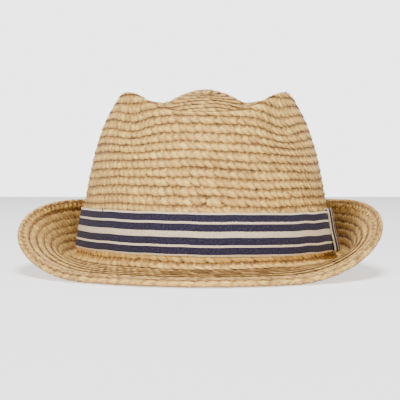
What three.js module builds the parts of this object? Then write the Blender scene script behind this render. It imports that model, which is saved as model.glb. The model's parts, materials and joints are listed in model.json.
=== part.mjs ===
// Straw trilby-style fedora with a striped ribbon, in millimetres.
// +Z is up, the front of the hat faces -Y and the wearer's left is +X.
// The hat rests on z = 0 on the front of its brim and on the fold behind its back.
//
// Every shell is drawn from two families of profiles, one for each plan angle: the crown's, measured
// upwards from the headline, and the brim's, measured outwards from it. A profile gives a girth (the
// half width of the oval there) and a height. The oval is longer than it is wide by the same amount
// at every girth, as a sewn braid hat is, because its spiral starts on a short straight line.
import * as THREE from "three";

// ---- Driving dimensions ----
// Headline: the outer oval of the straw where the crown meets the brim.
const HEAD_HALF_WIDTH = 86.5;
const HEAD_HALF_LENGTH = 105.5;
const FRONT_RING_HEIGHT = 12; // of the headline above the table; the brim's folds settle the back
const SIDE_RING_HEIGHT = 9.9;

// Crown
const RIM_HEIGHT = 104.5; // top fold at the sides and back, above the headline
const LIP_DROP = 15.3; // how much lower the fold lies at the front
const LIP_SPREAD = 37.3; // plan angle over which it recovers, degrees
const LIP_POWER = 3; // how square the dip is
const WALL_LEAN = 0.167; // inward lean of the wall, per millimetre of height
const ROUNDING_POWER = 5; // how late the wall rounds over towards the fold
const RIM_GIRTH = { front: 67.7, side: 54.2, back: 54.9 };
const GROOVE_GIRTH = { front: 48.6, side: 26.8, back: 42 };
const GROOVE_HEIGHT = { front: 79.8, side: 98, back: 97 };
const GROOVE_POWER = 1.25; // how hollow the fall from the fold is
const DOME_HEIGHT = { front: 102.9, side: 107.4, back: 110 };
const PINCH_DEPTH = 5; // the two finger dents at the front corners
const PINCH_ANGLE = 43;
const PINCH_SPREAD = 14;
const PINCH_LEVEL = 0.8; // share of the fold's height
const PINCH_REACH = 13;
const STRAW = 2.6; // two overlapped rows of braid

// Brim
const BRIM_WIDTH = 45.8; // along the surface, from the headline to the edge
const BREAK_RADIUS = { front: 6.5, side: 4.4, back: 4.8 };
const BACK_FLARE = 90; // upward slope of the brim at the back, degrees
const LEFT_FLARE = { start: 23, end: 105 }; // plan angles between which the brim turns up, degrees
const RIGHT_FLARE = { start: 34, end: 124 }; // the wearer's right turns up a little later
const FRONT_CURL = 5.3; // degrees by which the front edge turns down past its mean slope

// Edge row: a braid folded over a wire
const EDGE_ROW = 7.7;
const EDGE_LEG = 1.1;
const WIRE_RADIUS = 0.4;
const SLEEVE_WALL = 0.3;
const SLEEVE_LENGTH = 14;
const WIRE_END_GAP = 1;

// Trim and lining
const RIBBON_WIDTH = 26;
const RIBBON_THICKNESS = 0.9;
const RIBBON_SKEW = 1.2; // how far the ribbon sits higher on the wearer's right than on the front
const KEEPER_ANGLE = 69; // plan angle of the ribbon's keeper, on the wearer's left
const KEEPER_WIDTH = 14;
const KEEPER_RISE = 1.8; // how far the keeper stands past each edge of the ribbon
const KEEPER_REACH = 13; // plan angle over which the ribbon stands off for it, degrees
const KEEPER_EASING = 4; // how square that bulge is
const SWEATBAND_HEIGHT = 34;
const SWEATBAND_THICKNESS = 1.1;
const THREAD_RADIUS = 0.35;
const THREAD_LEVEL = 4;
const LABEL_WIDTH = 30;
const LABEL_HEIGHT = 18;
const LABEL_THICKNESS = 0.6;
const TACK_ANGLES = [-50, 130, -130];
const TACK_LENGTH = 3.2;
const TACK_SIZE = 0.7;

// Fits and facets
const GAP = 0.3; // between pieces that touch
const LOOSE_GAP = 0.1; // wire inside its sleeve
const PRESSED_FLAT = 0.7; // straw this close to the table is pressed onto it
const RING_STEPS = 48;
const WALL_POINTS = 60;
const SLOPE_POINTS = 16;
const DOME_POINTS = 24;
const WALL_STEPS = 10;
const TIP_STEPS = 13;
const BRIM_STEPS = 10;
const BRIM_CROWDING = 1.2; // draws the steps towards the headline, where the brim bends most
const CIRCLE_STEPS = 6;
const SHORT_STEPS = 4; // along a short piece such as the sleeve
const PROFILE_STEP = 1.25; // spacing of a profile's points, before they are smoothed
const SMOOTHING = 2.6; // softness of the folds, the spread of the averaging

// ---- Worked-out dimensions ----
const LENGTH_EXTRA = HEAD_HALF_LENGTH - HEAD_HALF_WIDTH;
const WALL_ANGLE = Math.PI / 2 - Math.atan(WALL_LEAN);
const SLOT_HEIGHT = 2 * (WIRE_RADIUS + LOOSE_GAP + SLEEVE_WALL + GAP);
const EDGE_THICKNESS = 2 * EDGE_LEG + SLOT_HEIGHT;
const EDGE_TOP_HEIGHT = EDGE_THICKNESS - PRESSED_FLAT / 2;
const BACK_RING_HEIGHT = BREAK_RADIUS.back * (1 - Math.cos(WALL_ANGLE)) + STRAW - PRESSED_FLAT / 2;
const SLEEVE_RADIUS = WIRE_RADIUS + LOOSE_GAP + SLEEVE_WALL;
const WIRE_INSET = EDGE_LEG + GAP + SLEEVE_RADIUS;
const KEEPER_CLEARANCE = RIBBON_THICKNESS + 2 * GAP;

// ---- Small helpers ----
const radians = THREE.MathUtils.degToRad;
const lerp = THREE.MathUtils.lerp;

/** A value that runs smoothly round the oval through its front, side and back values. */
function around({ front, side, back }, theta) {
  const c = Math.cos(theta);
  return side + ((front + back) / 2 - side) * c * c + ((front - back) / 2) * c;
}

/** A bell that is one at the centre and fades over the spread; a higher power has a flatter top. */
function bell(offset, spread, power = 2) {
  return Math.exp(-Math.pow(Math.abs(offset / spread), power));
}

/** Plan angle from the front, 0 to 180 degrees on either side. */
function angleFromFront(theta) {
  return THREE.MathUtils.radToDeg(Math.acos(Math.cos(theta)));
}

/** Height of the headline above the table at a place along the hat. */
function ringHeight(y) {
  const along = y / HEAD_HALF_LENGTH;
  const tilt = (BACK_RING_HEIGHT - FRONT_RING_HEIGHT) / 2;
  const bow = (BACK_RING_HEIGHT + FRONT_RING_HEIGHT) / 2 - SIDE_RING_HEIGHT;
  return SIDE_RING_HEIGHT + tilt * along + bow * along * along;
}

/** The point in space of a girth and a height at a plan angle. */
function place(theta, [girth, height]) {
  const y = -(girth + LENGTH_EXTRA) * Math.cos(theta);
  return new THREE.Vector3(girth * Math.sin(theta), y, height + ringHeight(y));
}

// ---- Profiles ----

/** A line of [girth, height] points with lengths, which can be sampled at a distance and a depth. */
class Profile {
  constructor(points, fold = 1) {
    this.points = points;
    this.fold = fold; // share of the length at which the line turns over, if it does
    this.lengths = [0];
    for (let i = 1; i < points.length; i += 1) {
      this.lengths.push(this.lengths[i - 1] + Math.hypot(...difference(points[i], points[i - 1])));
    }
    this.length = this.lengths.at(-1);
  }

  /** Index of the stretch that holds a distance, and how far along it that is. */
  locate(distance) {
    let i = 1;
    while (i < this.lengths.length - 1 && this.lengths[i] < distance) i += 1;
    const span = this.lengths[i] - this.lengths[i - 1];
    return [i, (distance - this.lengths[i - 1]) / span];
  }

  /** Direction of the line near one of its points. */
  direction(i) {
    const before = this.points[Math.max(i - 1, 0)];
    const after = this.points[Math.min(i + 1, this.points.length - 1)];
    const [dg, dh] = difference(after, before);
    const size = Math.hypot(dg, dh);
    return [dg / size, dh / size];
  }

  /** The point at a distance, moved square to the line; a positive depth goes to its left. */
  at(distance, depth = 0) {
    const [i, share] = this.locate(distance);
    const [a, b] = [this.points[i - 1], this.points[i]];
    const [ta, tb] = [this.direction(i - 1), this.direction(i)];
    const tangent = [lerp(ta[0], tb[0], share), lerp(ta[1], tb[1], share)];
    const girth = lerp(a[0], b[0], share) - tangent[1] * depth;
    return [Math.max(girth, 0), lerp(a[1], b[1], share) + tangent[0] * depth];
  }

  /** The same line with points at an even spacing. */
  evenly(spacing) {
    const count = Math.ceil(this.length / spacing);
    return new Profile(steps(count).map((share) => this.at(share * this.length)));
  }
}

function difference(a, b) {
  return [a[0] - b[0], a[1] - b[1]];
}

/** Shares from 0 to 1, both included. */
function steps(count) {
  return Array.from({ length: count + 1 }, (_, i) => i / count);
}

/** Wall of the crown from the headline to the fold: leaning in, rounding over, and pinched. */
function crownWall(theta) {
  const angle = angleFromFront(theta);
  const rimHeight = RIM_HEIGHT - LIP_DROP * bell(angle, LIP_SPREAD, LIP_POWER);
  const rounding = HEAD_HALF_WIDTH - WALL_LEAN * rimHeight - around(RIM_GIRTH, theta);
  const pinch = PINCH_DEPTH * bell(angle - PINCH_ANGLE, PINCH_SPREAD);
  return steps(WALL_POINTS).map((share) => {
    const height = share * rimHeight;
    const dent = pinch * bell(height - PINCH_LEVEL * rimHeight, PINCH_REACH);
    const leaning = HEAD_HALF_WIDTH - WALL_LEAN * height;
    return [leaning - rounding * share ** ROUNDING_POWER - dent, height];
  });
}

/** Top of the crown from the fold down into the groove and up over the middle dome. */
function crownTip(theta, [rimGirth, rimHeight]) {
  const grooveGirth = around(GROOVE_GIRTH, theta);
  const grooveHeight = around(GROOVE_HEIGHT, theta);
  const domeHeight = around(DOME_HEIGHT, theta);
  const slope = steps(SLOPE_POINTS).slice(1).map((share) => {
    const rise = (rimHeight - grooveHeight) * (1 - share) ** GROOVE_POWER;
    return [lerp(rimGirth, grooveGirth, share), grooveHeight + rise];
  });
  const dome = steps(DOME_POINTS).slice(1).map((share) => {
    const girth = grooveGirth * (1 - share);
    return [girth, lerp(domeHeight, grooveHeight, (girth / grooveGirth) ** 2)];
  });
  return [...slope, ...dome];
}

/** Softens a crown profile by averaging; it keeps both ends, and it is level across the middle. */
function softened(points) {
  const reach = Math.round((3 * SMOOTHING) / PROFILE_STEP);
  const last = points.length - 1;
  const sample = (i) => {
    if (i < 0) return [2 * points[0][0] - points[-i][0], 2 * points[0][1] - points[-i][1]];
    if (i > last) return [-points[2 * last - i][0], points[2 * last - i][1]];
    return points[i];
  };
  return points.map((_, centre) => {
    const sum = [0, 0, 0];
    for (let k = -reach; k <= reach; k += 1) {
      const weight = bell(k * PROFILE_STEP, SMOOTHING * Math.SQRT2);
      const [girth, height] = sample(centre + k);
      sum[0] += weight * girth;
      sum[1] += weight * height;
      sum[2] += weight;
    }
    return [sum[0] / sum[2], sum[1] / sum[2]];
  });
}

/** Outer face of the crown, from the headline up to the middle of the tip. */
function crownProfile(theta) {
  const wall = crownWall(theta);
  const whole = new Profile([...wall, ...crownTip(theta, wall.at(-1))]);
  const fold = new Profile(wall).length / whole.length;
  return new Profile(softened(whole.evenly(PROFILE_STEP).points), fold);
}

/** How far the brim has turned up at a plan angle: 0 at the front, 1 at the back. */
function flareAt(theta) {
  const { start, end } = Math.sin(theta) > 0 ? LEFT_FLARE : RIGHT_FLARE;
  return THREE.MathUtils.smoothstep(angleFromFront(theta), start, end);
}

/** Upper face of the brim, from the headline out to the edge. */
function brimProfile(theta) {
  const flare = flareAt(theta);
  const radius = around(BREAK_RADIUS, theta);
  const frontRun = BRIM_WIDTH - BREAK_RADIUS.front * WALL_ANGLE;
  const frontDrop = BREAK_RADIUS.front * (1 - Math.cos(WALL_ANGLE));
  const frontSlope = Math.asin((FRONT_EDGE_RING - frontDrop - EDGE_TOP_HEIGHT) / frontRun);
  const slope = lerp(frontSlope, -radians(BACK_FLARE), flare);
  const curl = radians(FRONT_CURL) * (1 - flare);
  const fold = radius * (WALL_ANGLE - slope + curl);
  const points = [[HEAD_HALF_WIDTH, 0]];
  const count = Math.round(BRIM_WIDTH / PROFILE_STEP) * 2;
  const step = BRIM_WIDTH / count;
  for (let i = 0; i < count; i += 1) {
    const done = (i + 0.5) * step;
    const share = (done - fold) / (BRIM_WIDTH - fold);
    const down = done < fold ? WALL_ANGLE - done / radius : slope + curl * (2 * share - 1);
    const [girth, height] = points.at(-1);
    points.push([girth + step * Math.cos(down), height - step * Math.sin(down)]);
  }
  return new Profile(points);
}

/** Headline height that the front edge hangs from, where the brim's own length carries it forward. */
const FRONT_EDGE_RING = ringHeight(-HEAD_HALF_LENGTH - BRIM_WIDTH + BREAK_RADIUS.front);

// ---- Shells ----

/** A mesh from rows of points, one row for each section; each row closes on itself if it is a loop. */
function sweptMesh(name, rows, finish, { ring = true, loop = true } = {}) {
  const width = rows[0].length;
  const across = loop ? width : width - 1;
  const along = ring ? rows.length : rows.length - 1;
  const index = [];
  for (let r = 0; r < along; r += 1) {
    for (let c = 0; c < across; c += 1) {
      const a = r * width + c;
      const b = r * width + ((c + 1) % width);
      const shift = ((r + 1) % rows.length) * width - r * width;
      index.push(a, b, b + shift, a, b + shift, a + shift);
    }
  }
  if (!ring) {
    const end = (rows.length - 1) * width;
    for (let c = 1; c < width - 1; c += 1) index.push(0, c + 1, c, end, end + c, end + c + 1);
  }
  const geometry = new THREE.BufferGeometry().setFromPoints(rows.flat());
  geometry.setIndex(index);
  geometry.computeVertexNormals();
  const mesh = new THREE.Mesh(geometry, finish);
  mesh.name = name;
  return mesh;
}

/** Plan angles all the way round. */
const RING_ANGLES = steps(RING_STEPS).slice(0, -1).map((share) => share * 2 * Math.PI);

/** Keeps straw off the table: what nearly reaches it lies flat on it. */
function onTable(point) {
  if (point.z < PRESSED_FLAT) point.z = 0;
  return point;
}

/** A closed band round the hat; outline is a list of [distance, depth] corners on the profile. */
function band(name, profileOf, outline, finish) {
  const rows = RING_ANGLES.map((theta) => {
    const profile = profileOf(theta);
    return outline.map(([distance, depth]) => onTable(place(theta, profile.at(distance, depth))));
  });
  return sweptMesh(name, rows, finish);
}

/** The crown: its outer face from the tip down, then its inner face back up. */
function makeCrown() {
  const rows = RING_ANGLES.map((theta) => {
    const profile = crownProfile(theta);
    const up = steps(WALL_STEPS).map((share) => share * profile.fold);
    const over = steps(TIP_STEPS).slice(1).map((share) => lerp(profile.fold, 1, share));
    const distances = [...up, ...over].map((share) => share * profile.length);
    const outer = distances.map((distance) => place(theta, profile.at(distance)));
    const inner = distances.map((distance) => place(theta, profile.at(distance, STRAW)));
    return [...outer.reverse(), ...inner];
  });
  return sweptMesh("crown_braid", rows, finishes.straw, { loop: false });
}

/** The brim from the headline to its edge row. */
function makeBrim() {
  const start = GAP;
  const end = BRIM_WIDTH - EDGE_ROW - GAP;
  const distances = steps(BRIM_STEPS).map((share) => lerp(start, end, share ** BRIM_CROWDING));
  const upper = distances.map((distance) => [distance, 0]);
  const under = distances.map((distance) => [distance, -STRAW]).reverse();
  return band("brim_braid", brimProfile, [...upper, ...under], finishes.straw);
}

/** The edge row, folded over the wire and open towards the crown. */
function makeEdge() {
  const inner = BRIM_WIDTH - EDGE_ROW;
  const slotEnd = BRIM_WIDTH - EDGE_LEG;
  const outline = [
    [inner, 0],
    [BRIM_WIDTH, 0],
    [BRIM_WIDTH, -EDGE_THICKNESS],
    [BRIM_WIDTH - EDGE_ROW / 2, -EDGE_THICKNESS],
    [inner, -EDGE_THICKNESS],
    [inner, EDGE_LEG - EDGE_THICKNESS],
    [slotEnd, EDGE_LEG - EDGE_THICKNESS],
    [slotEnd, -EDGE_LEG],
    [inner, -EDGE_LEG],
  ];
  return band("brim_edge_braid", brimProfile, outline, finishes.straw);
}

/** Line of the brim wire between two plan angles. */
function wireCurve(from, to, count) {
  const points = steps(count).map((share) => {
    const theta = lerp(from, to, share);
    return place(theta, brimProfile(theta).at(BRIM_WIDTH - WIRE_INSET, -EDGE_THICKNESS / 2));
  });
  return new THREE.CatmullRomCurve3(points);
}

/** A round rod or tube swept along a curve. */
function rod(name, curve, radius, bore, segments, finish) {
  const shape = new THREE.Shape().absarc(0, 0, radius, 0, 2 * Math.PI);
  if (bore > 0) shape.holes.push(new THREE.Path().absarc(0, 0, bore, 0, 2 * Math.PI, true));
  const geometry = new THREE.ExtrudeGeometry(shape, {
    steps: segments,
    curveSegments: CIRCLE_STEPS,
    bevelEnabled: false,
    extrudePath: curve,
  });
  const mesh = new THREE.Mesh(geometry, finish);
  mesh.name = name;
  return mesh;
}

/** Plan angle that a length covers at the back of a girth. */
function angleAtBack(length, girth) {
  return length / girth;
}

function makeWire() {
  const half = angleAtBack(WIRE_END_GAP / 2, HEAD_HALF_WIDTH);
  const curve = wireCurve(half - Math.PI, Math.PI - half, 2 * RING_STEPS);
  return rod("brim_wire", curve, WIRE_RADIUS, 0, 2 * RING_STEPS, finishes.steel);
}

function makeSleeve() {
  const half = angleAtBack(SLEEVE_LENGTH / 2, HEAD_HALF_WIDTH);
  const curve = wireCurve(Math.PI - half, Math.PI + half, SHORT_STEPS);
  const bore = WIRE_RADIUS + LOOSE_GAP;
  return rod("brim_wire_sleeve", curve, SLEEVE_RADIUS, bore, SHORT_STEPS, finishes.steel);
}

/** How far the ribbon stands off the crown, which makes room for the keeper's back leg. */
function ribbonStandoff(theta) {
  const offset = THREE.MathUtils.radToDeg(theta) - KEEPER_ANGLE;
  return GAP + KEEPER_CLEARANCE * bell(offset, KEEPER_REACH, KEEPER_EASING);
}

/** Height of the ribbon's lower edge above the headline: lowest on the wearer's left. */
function ribbonRise(theta) {
  return GAP + RIBBON_SKEW * (1 - Math.sin(theta));
}

/** Plan angle of a length along the headline, measured from the keeper's middle. */
function keeperTheta(length) {
  const theta = radians(KEEPER_ANGLE);
  const across = HEAD_HALF_WIDTH * Math.cos(theta);
  const along = HEAD_HALF_LENGTH * Math.sin(theta);
  return theta + length / Math.hypot(across, along);
}

/** The ribbon: one turn round the crown whose ends meet under the keeper. */
function makeRibbon() {
  const start = keeperTheta(GAP);
  const end = keeperTheta(-GAP) + 2 * Math.PI;
  const rows = steps(2 * RING_STEPS).map((share) => {
    const theta = lerp(start, end, share);
    const profile = crownProfile(theta);
    const standoff = ribbonStandoff(theta > 1.5 * Math.PI ? theta - 2 * Math.PI : theta);
    const rise = ribbonRise(theta);
    const levels = [rise, rise + RIBBON_WIDTH / 2, rise + RIBBON_WIDTH];
    const inner = levels.map((level) => place(theta, profile.at(level, -standoff)));
    const outer = levels.map((level) => {
      return place(theta, profile.at(level, -standoff - RIBBON_THICKNESS));
    });
    return [...outer.reverse(), ...inner];
  });
  return sweptMesh("hat_ribbon", rows, finishes.ribbon, { ring: false });
}

/** The keeper: a loop of the same ribbon folded round the band, over its joined ends. */
function makeKeeper() {
  const rise = ribbonRise(radians(KEEPER_ANGLE));
  const low = rise - KEEPER_RISE;
  const high = rise + RIBBON_WIDTH + KEEPER_RISE;
  const middle = (low + high) / 2;
  const back = GAP;
  const front = back + KEEPER_CLEARANCE + RIBBON_THICKNESS + GAP + RIBBON_THICKNESS;
  const path = [
    [low, front, 1, -1],
    [middle, front, 0, -1],
    [high, front, -1, -1],
    [high, back, -1, 1],
    [middle, back, 0, 1],
    [low, back, 1, 1],
  ];
  const lengths = [-KEEPER_WIDTH / 2, 0, KEEPER_WIDTH / 2];
  const corner = (length, level, standoff) => {
    const theta = keeperTheta(length);
    const profile = level < 0 ? brimProfile(theta) : crownProfile(theta);
    return place(theta, level < 0 ? profile.at(-level, standoff) : profile.at(level, -standoff));
  };
  const rows = path.map(([level, standoff, up, out]) => {
    const innerLevel = level + up * RIBBON_THICKNESS;
    const innerStandoff = standoff + out * RIBBON_THICKNESS;
    const outer = lengths.map((length) => corner(length, level, standoff));
    const inner = lengths.map((length) => corner(length, innerLevel, innerStandoff));
    return [...outer, ...inner.reverse()];
  });
  return sweptMesh("ribbon_keeper", rows, finishes.ribbon);
}

/** The sweatband: a flat band inside the crown, standing on the headline. */
function makeSweatband() {
  const outer = STRAW + GAP;
  const inner = outer + SWEATBAND_THICKNESS;
  const levels = [0, SWEATBAND_HEIGHT / 2, SWEATBAND_HEIGHT];
  const outline = [
    ...levels.map((level) => [level, outer]).reverse(),
    ...levels.map((level) => [level, inner]),
  ];
  return band("sweatband", crownProfile, outline, finishes.cloth);
}

/** The row of thread that holds the sweatband, as one thin line on its inner face. */
function makeThread() {
  const depth = STRAW + 2 * GAP + SWEATBAND_THICKNESS;
  const outline = [
    [THREAD_LEVEL + THREAD_RADIUS, depth],
    [THREAD_LEVEL - THREAD_RADIUS, depth],
    [THREAD_LEVEL, depth + 2 * THREAD_RADIUS],
  ];
  return band("sweatband_stitching", crownProfile, outline, finishes.thread);
}

/** The blank size label, a small tab on the sweatband at the back. */
function makeLabel() {
  const depth = STRAW + 2 * GAP + SWEATBAND_THICKNESS;
  const low = THREAD_LEVEL + THREAD_RADIUS + GAP;
  const half = angleAtBack(LABEL_WIDTH / 2, HEAD_HALF_WIDTH);
  const rows = steps(SHORT_STEPS).map((share) => {
    const theta = lerp(Math.PI + half, Math.PI - half, share);
    const profile = crownProfile(theta);
    const corners = [
      [low, depth],
      [low + LABEL_HEIGHT, depth],
      [low + LABEL_HEIGHT, depth + LABEL_THICKNESS],
      [low, depth + LABEL_THICKNESS],
    ];
    return corners.map(([level, inset]) => place(theta, profile.at(level, inset)));
  });
  return sweptMesh("size_label", rows, finishes.label, { ring: false });
}

/** One tack stitch of thread across the top edge of the ribbon. */
function makeTack(angle, number) {
  const theta = radians(angle);
  const profile = crownProfile(theta);
  const standoff = 2 * GAP + RIBBON_THICKNESS + TACK_SIZE / 2;
  const level = ribbonRise(theta) + RIBBON_WIDTH - TACK_LENGTH - GAP;
  const box = new THREE.BoxGeometry(TACK_SIZE, TACK_SIZE, TACK_LENGTH);
  const mesh = new THREE.Mesh(box, finishes.thread);
  const low = place(theta, profile.at(level, -standoff));
  const high = place(theta, profile.at(level + TACK_LENGTH, -standoff));
  mesh.position.lerpVectors(low, high, 0.5);
  const [across, along] = [HEAD_HALF_WIDTH * Math.sin(theta), HEAD_HALF_LENGTH * Math.cos(theta)];
  mesh.rotation.z = Math.atan2(across, along);
  mesh.rotateX(-Math.atan(WALL_LEAN));
  mesh.name = `ribbon_tack_${number}`;
  return mesh;
}

// ---- Finishes ----
function finish(color, roughness, metalness = 0) {
  return new THREE.MeshStandardMaterial({ color, roughness, metalness });
}

const finishes = {
  straw: finish(0xd0ae80, 0.75),
  ribbon: finish(0x4d4863, 0.85),
  cloth: finish(0xcfc2a4, 0.9),
  thread: finish(0xd9cdb0, 0.8),
  label: finish(0xe8e4da, 0.8),
  steel: finish(0x9a9c9e, 0.4, 1),
};

// ---- The hat ----
const hat = new THREE.Group();
hat.add(
  makeCrown(),
  makeBrim(),
  makeEdge(),
  makeWire(),
  makeSleeve(),
  makeRibbon(),
  makeKeeper(),
  makeSweatband(),
  makeThread(),
  makeLabel(),
  ...TACK_ANGLES.map((angle, i) => makeTack(angle, i + 1)),
);

// The origin is the middle of the hat's outline, on the table.
const middle = new THREE.Box3().setFromObject(hat).getCenter(new THREE.Vector3());
hat.position.set(-middle.x, -middle.y, 0);

export default hat;
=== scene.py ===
"""A straw fedora with a striped ribbon: its visible pieces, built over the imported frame.

Lengths are metres and angles are radians, unless a name says degrees. +Z is up, the front of the
hat faces -Y and the wearer's left is +X.

Every piece is laid on one smooth form, the hat block. The block is a grid of plan angle against
distance: distance runs outwards from the headline over the brim, and, below zero, from the
headline up the crown and over its tip. Straw, ribbon and sweatband are all worked out in those two
measures and a height above the block, and then carried onto it.
"""

import json
import logging
import math
from dataclasses import dataclass, field
from enum import Enum
from functools import cached_property
from typing import Sequence

import bpy
import numpy as np
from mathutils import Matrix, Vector
from numpy.typing import NDArray

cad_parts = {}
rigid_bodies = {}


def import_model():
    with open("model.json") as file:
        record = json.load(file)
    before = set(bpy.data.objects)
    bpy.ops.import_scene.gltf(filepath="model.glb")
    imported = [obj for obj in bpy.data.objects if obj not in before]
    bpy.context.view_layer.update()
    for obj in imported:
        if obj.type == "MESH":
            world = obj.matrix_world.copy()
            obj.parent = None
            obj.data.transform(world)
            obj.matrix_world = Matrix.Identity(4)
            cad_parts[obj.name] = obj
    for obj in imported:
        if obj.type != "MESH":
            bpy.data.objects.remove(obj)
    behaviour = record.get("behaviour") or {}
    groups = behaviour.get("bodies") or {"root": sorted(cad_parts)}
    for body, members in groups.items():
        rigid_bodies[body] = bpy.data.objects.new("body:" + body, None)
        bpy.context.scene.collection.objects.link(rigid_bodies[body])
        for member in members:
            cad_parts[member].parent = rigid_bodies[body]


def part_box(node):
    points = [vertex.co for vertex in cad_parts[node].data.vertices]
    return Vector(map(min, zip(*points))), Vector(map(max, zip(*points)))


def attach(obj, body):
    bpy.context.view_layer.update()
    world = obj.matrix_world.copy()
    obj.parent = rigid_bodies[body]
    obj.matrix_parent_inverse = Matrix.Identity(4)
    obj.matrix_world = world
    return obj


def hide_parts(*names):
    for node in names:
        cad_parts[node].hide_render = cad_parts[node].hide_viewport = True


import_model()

Array = NDArray[np.float64]

LOG = logging.getLogger("fedora")
MM = 0.001
TURN = 2.0 * math.pi


# ---------------------------------------------------------------------------------------------
# The block that the hat is shaped on
# ---------------------------------------------------------------------------------------------


@dataclass(frozen=True)
class ThreeWay:
    """A value given at the front, the sides and the back, and smooth in between."""

    front: float
    side: float
    back: float

    def at(self, theta: Array) -> Array:
        """The value at each plan angle: side, bent by cosine squared, tipped by cosine.

        Args:
            theta: plan angles.

        Returns:
            Values, an array like theta.
        """
        c = np.cos(theta)
        bow = (self.front + self.back) / 2 - self.side
        return self.side + bow * c * c + (self.front - self.back) / 2 * c


def bell(offset: Array, spread: float, power: float = 2.0) -> Array:
    """One at zero, fading over the spread; a higher power has a flatter top."""
    return np.exp(-np.abs(offset / spread) ** power)


def smooth_step(value: Array, low: float, high: float) -> Array:
    """Zero below low and one above high, easing in and out between them."""
    share = np.clip((value - low) / (high - low), 0.0, 1.0)
    return share * share * (3.0 - 2.0 * share)


@dataclass
class HatBlock:
    """The form of the hat: profiles round the oval, measured from the headline.

    The headline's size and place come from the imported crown. The other sizes are the design's.
    """

    half_width: float
    half_length: float
    centre_x: float
    centre_y: float
    front_ring: float = 12.0 * MM
    side_ring: float = 9.9 * MM
    rim_height: float = 104.5 * MM
    lip_drop: float = 15.3 * MM
    lip_spread: float = math.radians(37.3)
    wall_lean: float = 0.167
    rim_girth: ThreeWay = ThreeWay(67.7 * MM, 54.2 * MM, 54.9 * MM)
    groove_girth: ThreeWay = ThreeWay(48.6 * MM, 26.8 * MM, 42.0 * MM)
    groove_height: ThreeWay = ThreeWay(79.8 * MM, 98.0 * MM, 97.0 * MM)
    dome_height: ThreeWay = ThreeWay(102.9 * MM, 107.4 * MM, 110.0 * MM)
    pinch_depth: float = 5.0 * MM
    pinch_angle: float = math.radians(43.0)
    pinch_spread: float = math.radians(14.0)
    pinch_level: float = 0.8
    pinch_reach: float = 13.0 * MM
    straw: float = 2.6 * MM
    brim_width: float = 45.8 * MM
    break_radius: ThreeWay = ThreeWay(6.5 * MM, 4.4 * MM, 4.8 * MM)
    back_flare: float = math.radians(90.0)
    left_flare: tuple[float, float] = (math.radians(23.0), math.radians(105.0))
    right_flare: tuple[float, float] = (math.radians(34.0), math.radians(124.0))
    front_curl: float = math.radians(5.3)
    edge_thickness: float = 4.4 * MM
    pressed_flat: float = 0.7 * MM
    profile_step: float = 1.0 * MM
    smoothing: float = 2.6 * MM
    level_rows: float = 50.0 * MM
    past_tip: float = 8.0 * MM
    past_edge: float = 3.0 * MM
    angle_count: int = 1080
    distance_step: float = 0.4 * MM

    @property
    def length_extra(self) -> float:
        """How much longer the oval's half length is than its half width, at every girth."""
        return self.half_length - self.half_width

    @property
    def wall_angle(self) -> float:
        """Steepness of the wall at the headline."""
        return math.pi / 2 - math.atan(self.wall_lean)

    @property
    def back_ring(self) -> float:
        """Height of the headline at the back, where the fold of the brim rests on the table."""
        drop = self.break_radius.back * (1.0 - math.cos(self.wall_angle))
        return drop + self.straw - self.pressed_flat / 2

    def ring_height(self, y: Array) -> Array:
        """Height of the headline above the table, a parabola through its three heights.

        Args:
            y: places along the hat, from the middle of the oval.

        Returns:
            Heights, an array like y.
        """
        along = y / self.half_length
        tilt = (self.back_ring - self.front_ring) / 2
        bow = (self.back_ring + self.front_ring) / 2 - self.side_ring
        return self.side_ring + tilt * along + bow * along * along

    def crown_outline(self, theta: Array) -> tuple[Array, Array]:
        """Girth and height from the headline to the middle of the tip, before softening.

        The wall leans in steadily and rounds over with the fifth power of its height, less a bell
        for the finger dent. The tip falls to the groove by a power and rises to the dome by a
        parabola.

        Args:
            theta: plan angles, one for each profile.

        Returns:
            Girths and heights, one row for each plan angle.
        """
        angle = np.arccos(np.cos(theta))
        rim = (self.rim_height - self.lip_drop * bell(angle, self.lip_spread, 3.0))[:, None]
        rim_girth = self.rim_girth.at(theta)[:, None]
        rounding = self.half_width - self.wall_lean * rim - rim_girth
        share = np.linspace(0.0, 1.0, 91)[None, :]
        height = share * rim
        pinch = self.pinch_depth * bell(angle - self.pinch_angle, self.pinch_spread)[:, None]
        dent = pinch * bell(height - self.pinch_level * rim, self.pinch_reach)
        wall = self.half_width - self.wall_lean * height - rounding * share**5 - dent

        groove_girth = self.groove_girth.at(theta)[:, None]
        groove = self.groove_height.at(theta)[:, None]
        dome = self.dome_height.at(theta)[:, None]
        fall = np.linspace(0.0, 1.0, 31)[None, 1:]
        slope_girth = wall[:, -1:] + (groove_girth - wall[:, -1:]) * fall
        slope = groove + (rim - groove) * (1.0 - fall) ** 1.25
        climb = np.linspace(0.0, 1.0, 41)[None, 1:]
        dome_girth = groove_girth * (1.0 - climb)
        top = dome + (groove - dome) * (1.0 - climb) ** 2
        girth = np.concatenate([wall, slope_girth, dome_girth], axis=1)
        return girth, np.concatenate([height, slope, top], axis=1)

    def softened(self, girth: Array, height: Array) -> tuple[Array, Array]:
        """Averages a crown profile with a bell; the ends stay and the middle of the tip is level.

        Args:
            girth: the profile's girths at even steps.
            height: its heights.

        Returns:
            The averaged girths and heights.
        """
        reach = round(3 * self.smoothing / self.profile_step)
        offsets = np.arange(-reach, reach + 1) * self.profile_step
        weights = bell(offsets, self.smoothing * math.sqrt(2.0))
        weights /= weights.sum()

        def averaged(values: Array, over: float) -> Array:
            """The average, carried past the tip by a mirror image times over.

            Args:
                values: girths or heights.
                over: minus one where they change sign past the tip, one where they do not.

            Returns:
                As many values, averaged.
            """
            before = 2 * values[0] - values[1 : reach + 1][::-1]
            after = over * values[-reach - 1 : -1][::-1]
            return np.convolve(np.concatenate([before, values, after]), weights, "valid")

        return averaged(girth, -1.0), averaged(height, 1.0)

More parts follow.
